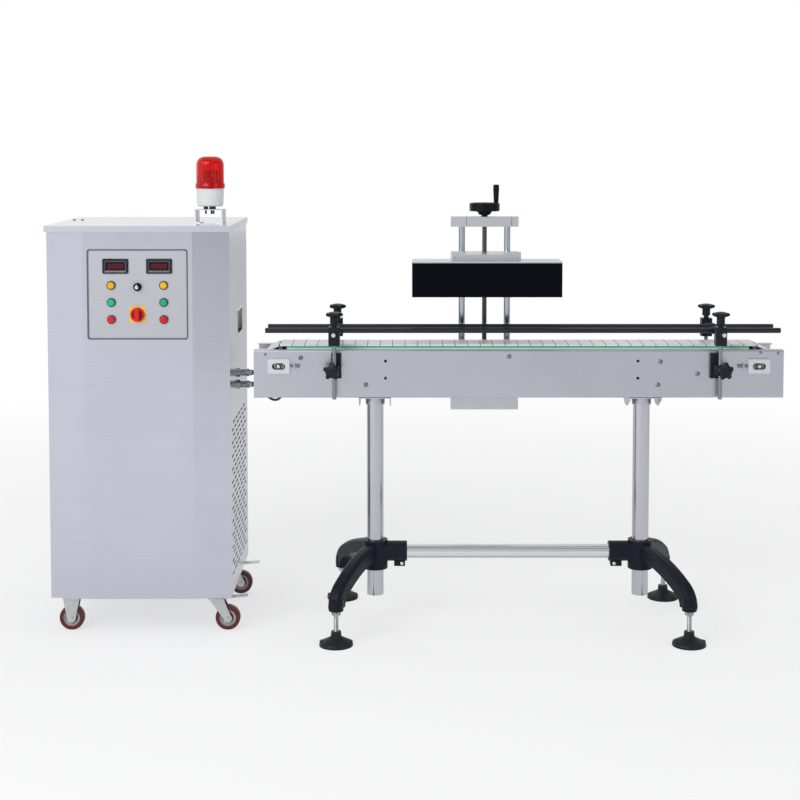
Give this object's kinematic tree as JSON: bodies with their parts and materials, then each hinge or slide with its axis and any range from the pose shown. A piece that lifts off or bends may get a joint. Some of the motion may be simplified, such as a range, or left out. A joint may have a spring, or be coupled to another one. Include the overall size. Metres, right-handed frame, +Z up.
{
  "type": "induction cap sealer",
  "caption": "Induction cap sealer: a power cabinet on casters with a control panel and beacon, joined by hoses to a slat chain conveyor with guide rails and a height-adjustable sealing head.",
  "frame": {"origin": "on the floor, under the middle of the whole machine's box", "axes": "+X along the conveyor from the cabinet to the free end, +Y to the back, +Z up"},
  "size_m": [2.214, 0.6532, 1.44],
  "materials": {
    "brushed_stainless": "brushed sheet steel",
    "bright_steel": "polished steel",
    "alloy": "satin machined aluminium",
    "black_polymer": "satin black moulding",
    "black_gloss": "gloss black moulding",
    "black_rubber": "soft matt rubber",
    "head_black": "satin black paint",
    "pale_polymer": "pale satin moulding",
    "slat_polymer": "pale grey acetal",
    "green_polymer": "green low-friction strip",
    "wheel_polymer": "dark red polyurethane",
    "dome_red": "translucent red moulding",
    "lamp_lens": "translucent lenses in three colours",
    "yellow_cap": "gloss yellow",
    "green_cap": "gloss green",
    "red_cap": "gloss red",
    "reflector_mirror": "vacuum-metallised reflector",
    "motor_paint": "grey paint over cast aluminium"
  },
  "bodies": {
    "machine": {"cabinet_shell": "brushed_stainless", "cabinet_lid": "brushed_stainless", "back_panel": "brushed_stainless", "control_panel": "brushed_stainless", "side_handles": "brushed_stainless", "side_plates": "brushed_stainless", "caster_mounts": "brushed_stainless", "leg_brackets": "brushed_stainless", "beacon_bracket": "brushed_stainless", "control_bezels": "bright_steel", "hose_fittings": "bright_steel", "frame_ties": "bright_steel", "leg_tubes": "bright_steel", "crossbar": "bright_steel", "foot_stems": "bright_steel", "guide_rods": "bright_steel", "take_up_blocks": "alloy", "rod_supports": "alloy", "tripod_hubs": "black_polymer", "foot_discs": "black_polymer", "rail_brackets": "black_polymer", "panel_meters": "black_gloss", "panel_trim": "black_rubber", "coolant_hose_high": "black_rubber", "coolant_hose_low": "black_rubber", "motor_cable": "black_rubber", "beacon_base": "pale_polymer", "slat_chain": "slat_polymer", "wear_strips": "green_polymer", "beacon_dome": "dome_red", "pilot_lamps": "lamp_lens", "switch_plate": "yellow_cap", "gear_motor": "motor_paint"},
    "reset_cap": {"reset_button": "yellow_cap"},
    "start_cap": {"start_button": "green_cap"},
    "stop_cap": {"stop_button": "red_cap"},
    "power_dial": {"power_knob": "black_gloss"},
    "main_switch": {"switch_handle": "red_cap"},
    "beacon_turntable": {"beacon_reflector": "reflector_mirror"},
    "wheel_fl": {"wheel_front_left": "wheel_polymer"},
    "wheel_bl": {"wheel_back_left": "wheel_polymer"},
    "fork_front": {"swivel_fork_front": "brushed_stainless"},
    "wheel_fr": {"wheel_front_right": "wheel_polymer"},
    "fork_back": {"swivel_fork_back": "brushed_stainless"},
    "wheel_br": {"wheel_back_right": "wheel_polymer"},
    "drive_line": {"drive_shaft": "bright_steel"},
    "idler_line": {"idler_shaft": "bright_steel"},
    "front_posts": {"front_rail_posts": "bright_steel", "front_post_clamps": "black_polymer"},
    "front_rail": {"front_guide_rail": "black_polymer", "front_rail_pins": "bright_steel"},
    "back_posts": {"back_rail_posts": "bright_steel", "back_post_clamps": "black_polymer"},
    "back_rail": {"back_guide_rail": "black_polymer", "back_rail_pins": "bright_steel"},
    "lift_screw": {"lead_screw": "bright_steel", "handwheel": "black_gloss"},
    "crank": {"crank_handle": "black_gloss"},
    "sealing_head": {"head_carriage": "alloy", "head_box": "head_black"}
  },
  "joints": [
    {"name": "reset_press", "type": "slide", "parent": "machine", "child": "reset_cap", "axis": [0, 1, 0], "range_m": [0, 0.003], "stiffness_N_per_m": 600, "springref_m": -0.001},
    {"name": "start_press", "type": "slide", "parent": "machine", "child": "start_cap", "axis": [0, 1, 0], "range_m": [0, 0.003], "stiffness_N_per_m": 600, "springref_m": -0.001},
    {"name": "stop_press", "type": "slide", "parent": "machine", "child": "stop_cap", "axis": [0, 1, 0], "range_m": [0, 0.003], "stiffness_N_per_m": 600, "springref_m": -0.001},
    {"name": "power_knob_turn", "type": "hinge", "parent": "machine", "child": "power_dial", "pos_m": [-0.831, -0.18537, 1.054], "axis": [0, -1, 0], "range_deg": [-150, 150]},
    {"name": "main_switch_turn", "type": "hinge", "parent": "machine", "child": "main_switch", "pos_m": [-0.831, -0.18537, 0.972], "axis": [0, 1, 0], "range_deg": [0, 90]},
    {"name": "beacon_spin", "type": "hinge", "parent": "machine", "child": "beacon_turntable", "pos_m": [-0.632, -0.03237, 1.35], "axis": [0, 0, 1], "continuous": true},
    {"name": "wheel_spin_front_left", "type": "hinge", "parent": "machine", "child": "wheel_fl", "pos_m": [-1.051, -0.12237, 0.0375], "axis": [0, 1, 0], "continuous": true},
    {"name": "wheel_spin_back_left", "type": "hinge", "parent": "machine", "child": "wheel_bl", "pos_m": [-1.051, 0.25763, 0.0375], "axis": [0, 1, 0], "continuous": true},
    {"name": "swivel_front_right", "type": "hinge", "parent": "machine", "child": "fork_front", "pos_m": [-0.611, -0.12237, 0.1], "axis": [0, 0, 1], "continuous": true},
    {"name": "wheel_spin_front_right", "type": "hinge", "parent": "fork_front", "child": "wheel_fr", "pos_m": [-0.576, -0.12237, 0.0375], "axis": [0, 1, 0], "continuous": true},
    {"name": "swivel_back_right", "type": "hinge", "parent": "machine", "child": "fork_back", "pos_m": [-0.611, 0.25763, 0.1], "axis": [0, 0, 1], "continuous": true},
    {"name": "wheel_spin_back_right", "type": "hinge", "parent": "fork_back", "child": "wheel_br", "pos_m": [-0.576, 0.25763, 0.0375], "axis": [0, 1, 0], "continuous": true},
    {"name": "drive_spin", "type": "hinge", "parent": "machine", "child": "drive_line", "pos_m": [-0.4169, -0.03737, 0.80922], "axis": [0, 1, 0], "continuous": true, "deforming": ["slat_chain"]},
    {"name": "idler_spin", "type": "hinge", "parent": "machine", "child": "idler_line", "pos_m": [1.0309, -0.03737, 0.80922], "axis": [0, 1, 0], "continuous": true},
    {"name": "front_rail_lift", "type": "slide", "parent": "machine", "child": "front_posts", "axis": [0, 0, 1], "range_m": [-0.025, 0.025]},
    {"name": "front_rail_reach", "type": "slide", "parent": "front_posts", "child": "front_rail", "axis": [0, 1, 0], "range_m": [-0.015, 0.025]},
    {"name": "back_rail_lift", "type": "slide", "parent": "machine", "child": "back_posts", "axis": [0, 0, 1], "range_m": [-0.025, 0.025]},
    {"name": "back_rail_reach", "type": "slide", "parent": "back_posts", "child": "back_rail", "axis": [0, -1, 0], "range_m": [-0.015, 0.025]},
    {"name": "handwheel_turn", "type": "hinge", "parent": "machine", "child": "lift_screw", "pos_m": [0.213, 0.08363, 1.266], "axis": [0, 0, 1], "range_deg": [-4502, 6752]},
    {"name": "crank_handle_spin", "type": "hinge", "parent": "lift_screw", "child": "crank", "pos_m": [0.2487, 0.07604, 1.31], "axis": [0, 0, 1], "continuous": true},
    {"name": "head_lift", "type": "slide", "parent": "machine", "child": "sealing_head", "axis": [0, 0, 1], "range_m": [-0.05, 0.075]}
  ],
  "couplings": [
    {"joint": "idler_spin", "follows": "drive_spin", "ratio": 1},
    {"joint": "handwheel_turn", "follows": "head_lift", "rad_per_m": 1570.8}
  ]
}
